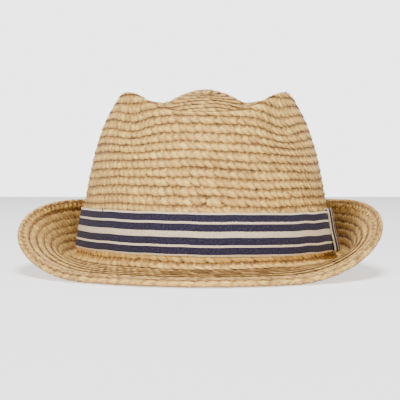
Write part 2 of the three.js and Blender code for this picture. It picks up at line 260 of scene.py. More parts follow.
    def brim_outline(self, theta: Array, distance: Array) -> tuple[Array, Array]:
        """Girth and height of the brim's upper face, by adding up its slope from the headline.

        The slope turns evenly through the break, and is then level or flared, with a slight curl
        down at the front.

        Args:
            theta: plan angles, one for each profile.
            distance: even distances from the headline.

        Returns:
            Girths and heights, one row for each plan angle.
        """
        angle = np.arccos(np.cos(theta))
        left, right = smooth_step(angle, *self.left_flare), smooth_step(angle, *self.right_flare)
        flare = np.where(np.sin(theta) > 0.0, left, right)
        radius = self.break_radius.at(theta)
        run = self.brim_width - self.break_radius.front * self.wall_angle
        drop = self.break_radius.front * (1.0 - math.cos(self.wall_angle))
        reach = -self.half_length - self.brim_width + self.break_radius.front
        ring = float(self.ring_height(np.array(reach)))
        edge_top = self.edge_thickness - self.pressed_flat / 2
        front_slope = math.asin((ring - drop - edge_top) / run)
        slope = front_slope + (-self.back_flare - front_slope) * flare
        curl = self.front_curl * (1.0 - flare)
        fold = radius * (self.wall_angle - slope + curl)

        step = distance[1] - distance[0]
        middle = (distance[:-1] + distance[1:])[None, :] / 2
        share = (middle - fold[:, None]) / (self.brim_width - fold[:, None])
        bent = self.wall_angle - middle / radius[:, None]
        flat = slope[:, None] + curl[:, None] * (2 * share - 1)
        down = np.where(middle < fold[:, None], bent, flat)
        start = np.zeros((len(theta), 1))
        girth = self.half_width + np.cumsum(np.hstack([start, step * np.cos(down)]), axis=1)
        return girth, -np.cumsum(np.hstack([start, step * np.sin(down)]), axis=1)

    @cached_property
    def crown_lines(self) -> list[tuple[Array, Array, Array]]:
        """For each plan angle of the grid: lengths, girths and heights up the softened crown.

        Returns:
            One set of three arrays for each plan angle.
        """
        girth, height = self.crown_outline(self.angles)
        lines = []
        for line_girth, line_height in zip(girth, height, strict=True):
            length = arc_lengths(line_girth, line_height)
            count = math.ceil(length[-1] / self.profile_step) + 1
            even = np.linspace(0.0, length[-1], count)
            soft_girth, soft_height = self.softened(
                np.interp(even, length, line_girth), np.interp(even, length, line_height)
            )
            lines.append((arc_lengths(soft_girth, soft_height), soft_girth, soft_height))
        return lines

    @cached_property
    def angles(self) -> Array:
        """Plan angles of the grid, once round."""
        return np.arange(self.angle_count) * TURN / self.angle_count

    @cached_property
    def crown_length(self) -> float:
        """Mean length from the headline to the middle of the tip, which the rows are counted on."""
        return float(np.mean([line[0][-1] for line in self.crown_lines]))

    @cached_property
    def distances(self) -> Array:
        """Distances of the grid, from past the middle of the tip to past the edge.

        Returns:
            Even distances, rising.
        """
        low = -(self.crown_length + self.past_tip)
        high = self.brim_width + self.past_edge
        return np.linspace(low, high, math.ceil((high - low) / self.distance_step))

    @cached_property
    def grid(self) -> tuple[Array, Array]:
        """Girth and height over the grid of plan angle and distance.

        Rows on the wall keep their true distance from the headline. Nearer the middle of the tip
        they are spread or gathered with the square of the distance, so that every line ends there.

        Returns:
            Two arrays over the grid.
        """
        up = -self.distances[self.distances < 0]
        mirrored = np.where(up > self.crown_length, 2 * self.crown_length - up, up)
        side = np.where(up > self.crown_length, -1.0, 1.0)
        ramp = np.clip((mirrored - self.level_rows) / (self.crown_length - self.level_rows), 0, 1)
        crown_girth, crown_height = [], []
        for length, girth, height in self.crown_lines:
            true = mirrored + (length[-1] - self.crown_length) * ramp**2
            crown_girth.append(side * np.interp(true, length, girth))
            crown_height.append(np.interp(true, length, height))
        out = self.distances[self.distances >= 0]
        fine = np.linspace(0.0, self.brim_width + self.past_edge, 400)
        brim_girth, brim_height = self.brim_outline(self.angles, fine)
        girth = np.array([np.interp(out, fine, line) for line in brim_girth])
        height = np.array([np.interp(out, fine, line) for line in brim_height])
        return np.hstack([crown_girth, girth]), np.hstack([crown_height, height])

    @cached_property
    def slopes(self) -> tuple[Array, Array]:
        """Outward normal over the grid, as its share along the girth and its share upwards.

        Returns:
            Two arrays over the grid.
        """
        girth, height = self.grid
        along, down = np.gradient(girth, axis=1), np.gradient(height, axis=1)
        size = np.hypot(along, down)
        return -down / size, along / size

    def sampled(self, table: Array, theta: Array, distance: Array) -> Array:
        """A grid's value between its lines, by bilinear weighting.

        Args:
            table: values over the grid of plan angle and distance.
            theta: plan angles.
            distance: distances from the headline.

        Returns:
            Values, an array like theta.
        """
        column = np.interp(distance, self.distances, np.arange(len(self.distances)))
        row = np.mod(theta, TURN) * self.angle_count / TURN
        r0, c0 = np.floor(row).astype(int), np.floor(column).astype(int)
        fr, fc = row - r0, column - c0
        r0 %= self.angle_count
        r1 = (r0 + 1) % self.angle_count
        c1 = np.minimum(c0 + 1, len(self.distances) - 1)
        near = table[r0, c0] * (1 - fc) + table[r0, c1] * fc
        far = table[r1, c0] * (1 - fc) + table[r1, c1] * fc
        return near * (1 - fr) + far * fr

    def place(self, theta: Array, distance: Array, lift: Array | float = 0.0) -> Array:
        """Points of space at a plan angle, a distance and a height above the block.

        Args:
            theta: plan angle, from the front towards the wearer's left.
            distance: from the headline, outwards on the brim and below zero on the crown.
            lift: height above the block's face, below zero inside the hat.

        Returns:
            An array like theta with x, y and z along a new last axis. Nothing sinks below z = 0.
        """
        theta, distance = np.broadcast_arrays(theta, distance)
        girth = self.sampled(self.grid[0], theta, distance)
        height = self.sampled(self.grid[1], theta, distance)
        outward = self.sampled(self.slopes[0], theta, distance) * lift
        upward = self.sampled(self.slopes[1], theta, distance) * lift
        half_width = np.maximum(np.abs(girth), 1.0 * MM)
        nx, ny = (half_width + self.length_extra) * np.sin(theta), -half_width * np.cos(theta)
        size = np.hypot(nx, ny)
        y_block = -(girth + self.length_extra) * np.cos(theta)
        x = girth * np.sin(theta) + outward * nx / size
        y = y_block + outward * ny / size
        z = height + upward + self.ring_height(y_block)
        return np.stack([x + self.centre_x, y + self.centre_y, np.maximum(z, 0.0)], axis=-1)


def arc_lengths(x: Array, y: Array) -> Array:
    """Length along a line at each of its points."""
    return np.concatenate([[0.0], np.cumsum(np.hypot(np.diff(x), np.diff(y)))])


# ---------------------------------------------------------------------------------------------
# Meshes
# ---------------------------------------------------------------------------------------------


@dataclass
class Skin:
    """Rows of points joined into quads, with surface measures for the material.

    points is (rows, columns, 3), and uv and tint hold a pair and a number for each. close_rows
    joins the last row to the first, close_columns does so for columns, and ends closes an open
    tube's two ends with one face each.
    """

    points: Array
    uv: Array
    tint: Array | None = None
    close_rows: bool = False
    close_columns: bool = True
    ends: bool = False

    def faces(self, start: int) -> list[Array]:
        """Vertex numbers of the quads, and of the ends where they are closed.

        Args:
            start: number of the first vertex of this skin in the whole mesh.

        Returns:
            Arrays of vertex numbers, one row for each face.
        """
        rows, columns = self.points.shape[:2]
        row_count = rows if self.close_rows else rows - 1
        column_count = columns if self.close_columns else columns - 1
        r, c = np.meshgrid(np.arange(row_count), np.arange(column_count), indexing="ij")
        r2, c2 = (r + 1) % rows, (c + 1) % columns
        corners = [r * columns + c, r * columns + c2, r2 * columns + c2, r2 * columns + c]
        quads = np.stack(corners, axis=-1).reshape(-1, 4) + start
        if not self.ends:
            return [quads]
        first = np.arange(columns)[::-1] + start
        return [quads, first[None, :], (np.arange(columns) + (rows - 1) * columns + start)[None, :]]


def build_mesh(name: str, skins: Sequence[Skin], material: bpy.types.Material) -> bpy.types.Object:
    """One object from several skins, with its UV map and its tint attribute.

    Args:
        name: the piece's name.
        skins: its surfaces, each with its own points.
        material: the finish.

    Returns:
        The object, at the origin, linked to the scene.
    """
    points = np.concatenate([skin.points.reshape(-1, 3) for skin in skins])
    uvs = np.concatenate([skin.uv.reshape(-1, 2) for skin in skins])
    tints = np.concatenate(
        [
            np.full(skin.points.shape[0] * skin.points.shape[1], 0.5)
            if skin.tint is None
            else skin.tint.reshape(-1)
            for skin in skins
        ]
    )
    starts = np.cumsum([0] + [skin.points.shape[0] * skin.points.shape[1] for skin in skins])
    groups = [group for skin, start in zip(skins, starts) for group in skin.faces(int(start))]
    loops = np.concatenate([group.reshape(-1) for group in groups]).astype(np.int32)
    sizes = np.concatenate([np.full(len(group), group.shape[1]) for group in groups])
    mesh = bpy.data.meshes.new(name)
    mesh.vertices.add(len(points))
    mesh.vertices.foreach_set("co", points.astype(np.float32).ravel())
    mesh.loops.add(len(loops))
    mesh.loops.foreach_set("vertex_index", loops)
    mesh.polygons.add(len(sizes))
    firsts = np.concatenate([[0], np.cumsum(sizes)[:-1]]).astype(np.int32)
    mesh.polygons.foreach_set("loop_start", firsts)
    mesh.polygons.foreach_set("use_smooth", np.ones(len(sizes), dtype=bool))
    layer = mesh.uv_layers.new(name="surface")
    layer.uv.foreach_set("vector", uvs[loops].astype(np.float32).ravel())
    attribute = mesh.attributes.new("tint", "FLOAT", "POINT")
    attribute.data.foreach_set("value", tints.astype(np.float32))
    mesh.materials.append(material)
    mesh.update(calc_edges=True)
    mesh.validate()
    piece = bpy.data.objects.new(name, mesh)
    bpy.context.scene.collection.objects.link(piece)
    return piece


def stand_in(piece: bpy.types.Object, node: str) -> bpy.types.Object:
    """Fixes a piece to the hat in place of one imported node.

    Args:
        piece: the visible piece.
        node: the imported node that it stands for.

    Returns:
        The same piece.
    """
    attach(piece, "root")
    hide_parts(node)
    return piece


def wander(length: Array, spacing: float, rng: np.random.Generator) -> Array:
    """Smooth random values along a length, easing between evenly spaced ones.

    Args:
        length: where the values are wanted.
        spacing: between two random values.
        rng: the source of the values.

    Returns:
        Values between -1 and 1, an array like length.
    """
    low = float(length.min())
    knots = rng.uniform(-1.0, 1.0, int((float(length.max()) - low) / spacing) + 3)
    place = (length - low) / spacing
    index = np.floor(place).astype(int)
    share = place - index
    share = share * share * (3.0 - 2.0 * share)
    return knots[index] * (1.0 - share) + knots[index + 1] * share


@dataclass(frozen=True)
class Wobble:
    """How far a handmade measure strays, and over what length it changes."""

    amount: float
    spacing: float

    def along(self, length: Array, rng: np.random.Generator) -> Array:
        """The straying at each length."""
        return self.amount * wander(length, self.spacing, rng)


# ---------------------------------------------------------------------------------------------
# Finishes
# ---------------------------------------------------------------------------------------------


@dataclass
class Wiring:
    """A material's nodes, made and joined in a few words."""

    name: str
    material: bpy.types.Material = field(init=False)

    def __post_init__(self) -> None:
        """Starts an empty material with its output and its surface shader."""
        self.material = bpy.data.materials.new(self.name)
        self.material.use_nodes = True
        self.tree = self.material.node_tree
        self.tree.nodes.clear()
        self.shader = self.tree.nodes.new("ShaderNodeBsdfPrincipled")
        output = self.tree.nodes.new("ShaderNodeOutputMaterial")
        self.tree.links.new(self.shader.outputs["BSDF"], output.inputs["Surface"])

    def join(self, source: bpy.types.NodeSocket | float, target: bpy.types.NodeSocket) -> None:
        """Links a socket, or sets a plain number on it."""
        if isinstance(source, (int, float)):
            target.default_value = source
        else:
            self.tree.links.new(source, target)

    def uv(self) -> bpy.types.NodeSocket:
        """The piece's own surface measures.

        Returns:
            The UV socket.
        """
        node = self.tree.nodes.new("ShaderNodeUVMap")
        node.uv_map = "surface"
        return node.outputs["UV"]

    def objects(self) -> bpy.types.NodeSocket:
        """The piece's place in the hat."""
        return self.tree.nodes.new("ShaderNodeTexCoord").outputs["Object"]

    def tint(self) -> bpy.types.NodeSocket:
        """The tint laid on the mesh.

        Returns:
            The tint socket.
        """
        node = self.tree.nodes.new("ShaderNodeAttribute")
        node.attribute_name = "tint"
        return node.outputs["Fac"]

    def scaled(self, vector: bpy.types.NodeSocket, scale: Sequence[float]) -> bpy.types.NodeSocket:
        """A vector stretched along each axis.

        Args:
            vector: the vector.
            scale: factors for x, y and z.

        Returns:
            The stretched vector.
        """
        node = self.tree.nodes.new("ShaderNodeMapping")
        node.inputs["Scale"].default_value = scale
        self.join(vector, node.inputs["Vector"])
        return node.outputs["Vector"]

    def noise(
        self, vector: bpy.types.NodeSocket, scale: float, detail: float = 2.0, roughness: float = 0.5
    ) -> bpy.types.NodeSocket:
        """Soft noise.

        Args:
            vector: where it is read.
            scale: how fine it is.
            detail: octaves added.
            roughness: weight of the finer octaves.

        Returns:
            Its value between 0 and 1.
        """
        node = self.tree.nodes.new("ShaderNodeTexNoise")
        node.inputs["Scale"].default_value = scale
        node.inputs["Detail"].default_value = detail
        node.inputs["Roughness"].default_value = roughness
        self.join(vector, node.inputs["Vector"])
        return node.outputs["Fac"]

    def parts(self, vector: bpy.types.NodeSocket) -> tuple[bpy.types.NodeSocket, ...]:
        """The x, y and z of a vector, as three sockets.

        Args:
            vector: the vector.

        Returns:
            Three sockets.
        """
        node = self.tree.nodes.new("ShaderNodeSeparateXYZ")
        self.join(vector, node.inputs["Vector"])
        return tuple(node.outputs[axis] for axis in "XYZ")

    def math(
        self,
        operation: str,
        first: bpy.types.NodeSocket | float,
        second: bpy.types.NodeSocket | float = 0.0,
        third: bpy.types.NodeSocket | float = 0.0,
    ) -> bpy.types.NodeSocket:
        """One step of arithmetic.

        Args:
            operation: its name in Blender.
            first: its first value.
            second: its second value, where it has one.
            third: its third value, where it has one.

        Returns:
            The result.
        """
        node = self.tree.nodes.new("ShaderNodeMath")
        node.operation = operation
        for source, target in zip((first, second, third), node.inputs):
            self.join(source, target)
        return node.outputs["Value"]

    def ramp(
        self,
        factor: bpy.types.NodeSocket,
        stops: Sequence[tuple[float, Sequence[float]]],
        stepped: bool = False,
    ) -> bpy.types.NodeSocket:
        """Colours along a factor.

        Args:
            factor: what the colours follow.
            stops: places and their linear colours, rising.
            stepped: whether they change in plain steps and aren't blended.

        Returns:
            The colour.
        """
        node = self.tree.nodes.new("ShaderNodeValToRGB")
        node.color_ramp.interpolation = "CONSTANT" if stepped else "LINEAR"
        elements = node.color_ramp.elements
        while len(elements) < len(stops):
            elements.new(0.5)
        for element, (position, colour) in zip(elements, stops, strict=True):
            element.position = position
            element.color = (*colour, 1.0)
        self.join(factor, node.inputs["Fac"])
        return node.outputs["Color"]

    def mixed(
        self,
        factor: bpy.types.NodeSocket | float,
        first: bpy.types.NodeSocket,
        second: bpy.types.NodeSocket,
        blend: str = "MIX",
    ) -> bpy.types.NodeSocket:
        """Two colours blended.

        Args:
            factor: share of the second.
            first: the first colour.
            second: the second colour.
            blend: how they are blended.

        Returns:
            The blended colour.
        """
        node = self.tree.nodes.new("ShaderNodeMix")
        node.data_type = "RGBA"
        node.blend_type = blend
        self.join(factor, node.inputs[0])
        self.join(first, node.inputs[6])
        self.join(second, node.inputs[7])
        return node.outputs[2]

    def bump(self, height: bpy.types.NodeSocket, strength: float, distance: float) -> None:
        """Puts a height on the shader as fine relief.

        Args:
            height: the relief.
            strength: its weight.
            distance: its full height.
        """
        node = self.tree.nodes.new("ShaderNodeBump")
        node.inputs["Strength"].default_value = strength
        node.inputs["Distance"].default_value = distance
        self.join(height, node.inputs["Height"])
        self.join(node.outputs["Normal"], self.shader.inputs["Normal"])

    def surface(self, roughness: float, sheen: float = 0.0, specular: float = 0.5) -> None:
        """Sets the shader's plain numbers.

        Args:
            roughness: of the surface.
            sheen: weight of the fuzz.
            specular: strength of the reflection.
        """
        self.shader.inputs["Roughness"].default_value = roughness
        self.shader.inputs["Sheen Weight"].default_value = sheen
        self.shader.inputs["Specular IOR Level"].default_value = specular


def linear(*srgb: int) -> tuple[float, ...]:
    """A colour's linear values from its 0 to 255 screen values."""
    shares = [value / 255 for value in srgb]
    return tuple(v / 12.92 if v <= 0.04045 else ((v + 0.055) / 1.055) ** 2.4 for v in shares)


@dataclass(frozen=True)
class StrawFinish:
    """Natural raffia: long fibres, paler and browner strands, and painted shade in its hollows."""

    name: str = "natural_straw"
    pale: tuple[float, ...] = linear(250, 216, 124)
    body: tuple[float, ...] = linear(212, 168, 82)
    tan: tuple[float, ...] = linear(168, 124, 66)
    # The ramp's dark end, reached mostly where the tint carries painted shade.
    brown: tuple[float, ...] = linear(62, 40, 18)
    roughness: float = 0.62
    fibre_width: float = 0.22 * MM
    fibre_length: float = 9.0 * MM
    patch_width: float = 3.0 * MM
    patch_length: float = 11.0 * MM
    tint_share: float = 0.68
    patch_share: float = 0.20
    fibre_share: float = 0.74
    stops: tuple[float, ...] = (0.38, 0.62, 0.80, 0.98)

    def make(self) -> bpy.types.Material:
        """Noise drawn out along each strand gives its fibres; the tint gives each strand's own tone and
        its painted shade.

        Returns:
            The material.
        """
        w = Wiring(self.name)
        uv = w.uv()
        fibres = w.noise(
            w.scaled(uv, (1 / self.fibre_length, 1 / self.fibre_width, 1.0)), 1.0, 3.0, 0.6
        )
        patches = w.noise(
            w.scaled(uv, (1 / self.patch_length, 1 / self.patch_width, 1.0)), 1.0, 2.0
        )
        cloudy = w.math("MULTIPLY", patches, self.patch_share)
        # The tint holds each strand's own tone less its painted shade.
        shade = w.math("MULTIPLY_ADD", w.tint(), self.tint_share, cloudy)
        shade = w.math("ADD", shade, w.math("MULTIPLY", fibres, self.fibre_share))
        stops = list(zip(self.stops, (self.brown, self.tan, self.body, self.pale), strict=True))
        w.join(w.ramp(shade, stops), w.shader.inputs["Base Color"])
        w.surface(self.roughness, sheen=0.08, specular=0.35)
        w.bump(fibres, 0.55, 0.35 * MM)
        return w.material


@dataclass(frozen=True)
class RibbonFinish:
    """Woven ribbon: stripes along it, ribs across it, and a heathered navy."""

    name: str = "striped_ribbon"
    navy: tuple[float, ...] = linear(26, 22, 38)
    navy_light: tuple[float, ...] = linear(56, 50, 70)
    cream: tuple[float, ...] = linear(224, 208, 176)
    cream_shade: tuple[float, ...] = linear(186, 168, 136)
    rib: float = 0.85 * MM
    speck_length: float = 1.1 * MM
    specks_across: float = 26.0
    ragged: float = 0.012
    edges: tuple[float, ...] = (0.045, 0.21, 0.26, 0.43, 0.57, 0.74, 0.79, 0.955)

    def make(self) -> bpy.types.Material:
        """Stripes by the share across the ribbon, mottled by short noise, with waved ribs.

        Returns:
            The material.
        """
        w = Wiring(self.name)
        uv = w.uv()
        along, across, _ = w.parts(uv)
        specks = w.noise(w.scaled(uv, (1 / self.speck_length, self.specks_across, 1.0)), 1.0, 2.0, 0.7)
        wobble = w.math("MULTIPLY_ADD", specks, self.ragged, -self.ragged / 2)
        place = w.math("ADD", across, wobble)
        stops = [(0.0, (1.0, 1.0, 1.0))]
        for i, edge in enumerate(self.edges):
            level = float(i % 2)
            stops.append((edge, (level, level, level)))
        is_cream = w.ramp(place, stops, stepped=True)
        navy = w.ramp(specks, [(0.40, self.navy), (0.66, self.navy_light)])
        cream = w.ramp(specks, [(0.35, self.cream_shade), (0.60, self.cream)])
        w.join(w.mixed(is_cream, navy, cream), w.shader.inputs["Base Color"])
        w.surface(0.85, sheen=0.04, specular=0.15)
        ribs = w.math("SINE", w.math("MULTIPLY", along, TURN / self.rib))
        w.bump(w.math("MULTIPLY_ADD", specks, 0.8, ribs), 0.5, 0.12 * MM)
        return w.material


@dataclass(frozen=True)
class ClothFinish:
    """Ribbed cotton, for the sweatband, or flat tape, for the label."""

    name: str
    light: tuple[float, ...]
    dark: tuple[float, ...]
    rib: float = 0.9 * MM

    def make(self) -> bpy.types.Material:
        """Crossed waves for the weave, and cloudy noise for wear.

        Returns:
            The material.
        """
        w = Wiring(self.name)
        along, across, _ = w.parts(w.uv())
        clouds = w.noise(w.objects(), 90.0, 3.0)
        w.join(w.ramp(clouds, [(0.3, self.dark), (0.7, self.light)]), w.shader.inputs["Base Color"])
        warp = w.math("SINE", w.math("MULTIPLY", along, TURN / self.rib))
        weft = w.math("SINE", w.math("MULTIPLY", across, TURN / self.rib))
        w.surface(0.88, sheen=0.2, specular=0.2)
        w.bump(w.math("MULTIPLY", warp, weft), 0.45, 0.12 * MM)
        return w.material


@dataclass(frozen=True)
class ThreadFinish:
    """Twisted sewing thread."""

    name: str = "sewing_thread"
    light: tuple[float, ...] = linear(228, 216, 190)
    dark: tuple[float, ...] = linear(184, 166, 134)
    twist: float = 0.6 * MM

    def make(self) -> bpy.types.Material:
        """Slanted bands along the thread for its twist, with painted shade in the grooves where the
        bands are low.

        Returns:
            The material.
        """
        w = Wiring(self.name)
        along, across, _ = w.parts(w.uv())
        turns = w.math("MULTIPLY_ADD", along, 1 / self.twist, across)
        bands = w.math("SINE", w.math("MULTIPLY", turns, TURN))
        fuzz = w.noise(w.objects(), 900.0, 2.0)
        # Painted shade: the colour follows the bands, so the twist's grooves are painted darker.
        shade = w.math("MULTIPLY_ADD", bands, 0.2, fuzz)
        w.join(w.ramp(shade, [(0.3, self.dark), (0.7, self.light)]), w.shader.inputs["Base Color"])
        w.surface(0.8, sheen=0.2, specular=0.25)
        w.bump(bands, 0.4, 0.1 * MM)
        return w.material


@dataclass(frozen=True)
class WireFinish:
    """Drawn steel wire."""

    name: str = "drawn_steel"
    light: tuple[float, ...] = linear(180, 182, 184)
    dark: tuple[float, ...] = linear(128, 130, 132)

    def make(self) -> bpy.types.Material:
        """Fine mottling on a metal.

        Returns:
            The material.
        """
        w = Wiring(self.name)
        mottle = w.noise(w.objects(), 700.0, 3.0)
        w.join(w.ramp(mottle, [(0.3, self.dark), (0.7, self.light)]), w.shader.inputs["Base Color"])
        w.shader.inputs["Metallic"].default_value = 1.0
        w.surface(0.35)
        w.bump(mottle, 0.2, 0.05 * MM)
        return w.material


@dataclass(frozen=True)
class FloorFinish:
    """A plain pale light table, faintly lit from beneath."""

    name: str = "pale_floor"
    colour: tuple[float, ...] = (0.90, 0.90, 0.91)
    glow: float = 1.0

    def make(self) -> bpy.types.Material:
        """An even matt surface with the faintest tooth.

        Returns:
            The material.
        """
        w = Wiring(self.name)
        w.shader.inputs["Base Color"].default_value = (*self.colour, 1.0)
        w.shader.inputs["Emission Color"].default_value = (*self.colour, 1.0)
        w.shader.inputs["Emission Strength"].default_value = self.glow
        w.surface(0.95, specular=0.1)
        w.bump(w.noise(w.objects(), 400.0, 2.0), 0.05, 0.1 * MM)
        return w.material


# ---------------------------------------------------------------------------------------------
# Straw
# ---------------------------------------------------------------------------------------------


@dataclass
class Plait:
    """A flat braid of three raffia strands, laid along a line on the block."""

    block: HatBlock
    seed: int
    swing: float = 2.05 * MM
    cross_height: float = 0.20 * MM
    half_strand: float = 2.15 * MM
    half_thickness: float = 0.21 * MM
    period: float = 14.4 * MM
    sample: float = 1.3 * MM
    tilt: float = 0.145
    tip_tilt: float = 0.10
    tip_start: float = 100.0 * MM
    lying_over: float = 15.0 * MM
    # Painted shadow under the edge of the row before: it begins this far inwards from the braid's
    # middle and deepens over the next distance.
    tucked: float = 0.6 * MM
    shadow: float = 0.5 * MM
    drift: Wobble = Wobble(0.3 * MM, 45 * MM)
    slip: Wobble = Wobble(0.5, 60 * MM)
    swing_change: Wobble = Wobble(0.10, 14 * MM)
    width_change: Wobble = Wobble(0.20, 9 * MM)
    roll: Wobble = Wobble(0.10, 8 * MM)
    slow_tone: Wobble = Wobble(0.09, 30 * MM)
    quick_tone: Wobble = Wobble(0.09, 6 * MM)
    mean_tone: float = 0.55
    # Painted shade: how much darker a strand is painted where it dips under the others.
    hollow_shade: float = 0.20
    # Painted shade: how much darker each strand's edges are painted, and how near the edge it stays.
    rim_shade: float = 0.62
    rim_power: float = 10.0
    point: float = 0.02
    slow_wave: float = 0.65 * MM
    quick_wave: float = 0.35 * MM
    sag: float = 2.6 * MM
    sag_level: float = 84.0 * MM
    sag_reach: float = 22.0 * MM
    sag_side: float = 0.45
    sag_spread: float = 1.1
    backing_half: float = 0.05 * MM
    backing_columns: int = 6
    backing_step: float = 2.0 * MM

    SECTION_ACROSS = np.array([-1.0, -0.90, 0.0, 0.90, 1.0, 0.90, 0.0, -0.90])
    SECTION_UP = np.array([0.0, 0.80, 1.0, 0.80, 0.0, -0.80, -0.90, -0.80])

    @property
    def reach(self) -> float:
        """Distance from the braid's middle to its outer side."""
        return self.swing + self.half_strand

    def middle_lift(self, distance: Array, v: Array | float) -> Array:
        """Height of the braid's middle plane: its outer side lies just under the block's face.

        Args:
            distance: of the braid's middle line from the headline.
            v: across the braid, outwards.

        Returns:
            Height above the block, which is below zero.
        """
        lying = smooth_step(-distance, self.tip_start, self.tip_start + self.lying_over)
        tilt = self.tilt + (self.tip_tilt - self.tilt) * lying
        return tilt * (v - self.reach) - self.half_thickness - self.cross_height

    def settled(self, theta: Array, distance: Array) -> Array:
        """Distance of hand-sewn rows: two slow waves, and a sag where the crown is pinched.

        The waves fade out at the edge row and at the middle of the tip.

        Args:
            theta: plan angles.
            distance: even distances from the headline.

        Returns:
            Distances as the rows really lie.
        """
        reach = self.block.crown_length
        fade = smooth_step(self.block.brim_width - 12 * MM - distance, 0.0, 10 * MM)
        fade = fade * smooth_step(distance + reach, 8 * MM, 30 * MM)
        slow = self.slow_wave * np.sin(3 * theta + 1.3 + distance / (30 * MM))
        quick = self.quick_wave * np.sin(8 * theta + 2.1 - distance / (17 * MM))
        offset = np.arccos(np.cos(theta)) - self.block.pinch_angle
        side = 1.0 + self.sag_side * np.sin(theta)
        sag = self.sag * side * bell(offset, self.sag_spread * self.block.pinch_spread)
        sag = sag * bell(distance + self.sag_level, self.sag_reach)
        return distance + fade * (slow + quick) + sag

    def carried(self, theta: Array, distance: Array, v: Array, w: Array) -> Array:
        """Points at v across the braid and w above its middle plane, carried onto the block."""
        out = self.settled(theta, distance + v)
        return self.block.place(theta, out, self.middle_lift(distance, v) + w)

    def backing(self, theta: Array, distance: Array, pitch: float) -> Skin:
        """A thin pleat within one run of braid, which steps down to the next row and meets it.

        Args:
            theta: plan angles along the line.
            distance: distance from the headline at each.
            pitch: width of a row.

        Returns:
            One closed tube, painted as dark as the material goes: painted shade where the gaps between
            strands and rows show it.
        """
        half, thin = pitch / 2, self.backing_half
        upper = np.linspace(-half, half + thin, self.backing_columns)
        lower = np.linspace(half - thin, -half, self.backing_columns)
        v = np.concatenate([upper, [half + thin, half - thin], lower])
        upper_lift = self.middle_lift(distance[:, None], upper) + thin
        lower_lift = self.middle_lift(distance[:, None], lower) - thin
        step_lift = self.middle_lift(distance[:, None], np.full(2, -half)) - thin
        lift = np.hstack([upper_lift, step_lift, lower_lift])
        angle = theta[:, None] + 0 * lift
        out = self.settled(angle, distance[:, None] + v[None, :])
        points = self.block.place(angle, out, lift)
        along = np.arange(len(theta))[:, None] * self.backing_step + 0 * lift
        uv = np.stack([along, v[None, :] + 0 * lift], axis=-1)
        # Painted shade: the backing gets the lowest tint, the darkest brown of the straw.
        tint = np.zeros(lift.shape)
        return Skin(points[:, ::-1], uv[:, ::-1], tint, ends=True)

    def strands(self, theta: Array, distance: Array) -> list[Skin]:
        """The three strands along a line of plan angles and distances.

        Each strand swings across the braid with a sine and over and under the others with a sine
        of twice the rate. Its section is a flat lens, turned to follow its own path. The braid
        slopes so that its outer side stands proud of the next row's inner side.

        Args:
            theta: plan angles along the line, rising.
            distance: distance from the headline at each.

        Returns:
            Three closed tubes.
        """
        rng = np.random.default_rng(self.seed)
        line = self.block.place(theta, distance)
        steps = np.linalg.norm(np.diff(line, axis=0), axis=1)
        length = np.concatenate([[0.0], np.cumsum(steps)])
        count = max(int(length[-1] / self.sample), 8)
        run = np.linspace(0.0, length[-1], count)
        drift = self.drift.along(run, rng)
        skins = []
        for strand in range(3):
            phase = TURN * (run / self.period + strand / 3.0) + self.slip.along(run, rng)
            swing = self.swing * (1.0 + self.swing_change.along(run, rng))
            aside = swing * np.sin(phase) + drift
            rise = self.cross_height * np.sin(2.0 * phase)
            heading = np.arctan(swing * TURN / self.period * np.cos(phase))
            half = self.half_strand * (1.0 + self.width_change.along(run, rng))
            roll = self.roll.along(run, rng)
            taper = np.ones(count)
            taper[[0, -1]] = self.point
            across = self.SECTION_ACROSS[None, :] * (half * taper)[:, None]
            up = self.SECTION_UP[None, :] * (self.half_thickness * taper)[:, None]
            v = aside[:, None] + np.cos(heading)[:, None] * across
            s = run[:, None] - np.sin(heading)[:, None] * across
            w = rise[:, None] + up + across * np.sin(roll)[:, None]
            s = np.clip(s, 0.0, length[-1])
            angle, out = np.interp(s, length, theta), np.interp(s, length, distance)
            points = self.carried(angle, out, v, w)
            uv = np.stack([s + 3.7 * strand + self.seed, across + 0.02 * strand], axis=-1)
            tone = self.mean_tone + self.slow_tone.along(run, rng) + self.quick_tone.along(run, rng)
            # Painted shade: a strand is painted darker where it dips under the other strands.
            dip_painted_shade = self.hollow_shade * np.clip(-rise / self.cross_height, 0.0, 1.0) ** 2
            # Painted shade: each strand's edges are painted darker, standing in for the shadow lines
            # between strands.
            rim = self.rim_shade * np.abs(self.SECTION_ACROSS) ** self.rim_power
            # Painted shadow: the braid's inner side, tucked under the edge of the row before, is
            # painted darker.
            under = smooth_step(-v, self.tucked, self.tucked + self.shadow)
            tint = np.clip((tone - dip_painted_shade)[:, None] - rim[None, :] - under, 0.0, 1.0)
            skins.append(Skin(points[:, ::-1], uv[:, ::-1], tint[:, ::-1], ends=True))
        return skins


@dataclass
class FoldedPlait(Plait):
    """A plait of the edge row, which is folded round the wire.

    Its distance counts from the fold, over the top when above zero and beneath when below zero.
    """

    swing: float = 1.45 * MM
    half_strand: float = 1.6 * MM
    fold_radius: float = 1.75 * MM
    wire_depth: float = 2.2 * MM

    def carried(self, theta: Array, distance: Array, v: Array, w: Array) -> Array:
        """Points carried round the fold: level above it, half a turn, and level beneath.

        Args:
            theta: plan angles.
            distance: distances of the plait's middle from the fold.
            v: across the plait.
            w: above its middle plane.

        Returns:
            Points of space.
        """
        along = distance + v
        quarter = self.fold_radius * math.pi / 2
        turn = np.clip(along, -quarter, quarter) / self.fold_radius
        straight = np.abs(along) - np.abs(turn) * self.fold_radius
        radius = self.fold_radius + w
        middle = self.block.brim_width - self.wire_depth
        out = middle + radius * np.cos(turn) - straight
        return self.block.place(theta, out, -self.wire_depth + radius * np.sin(turn))


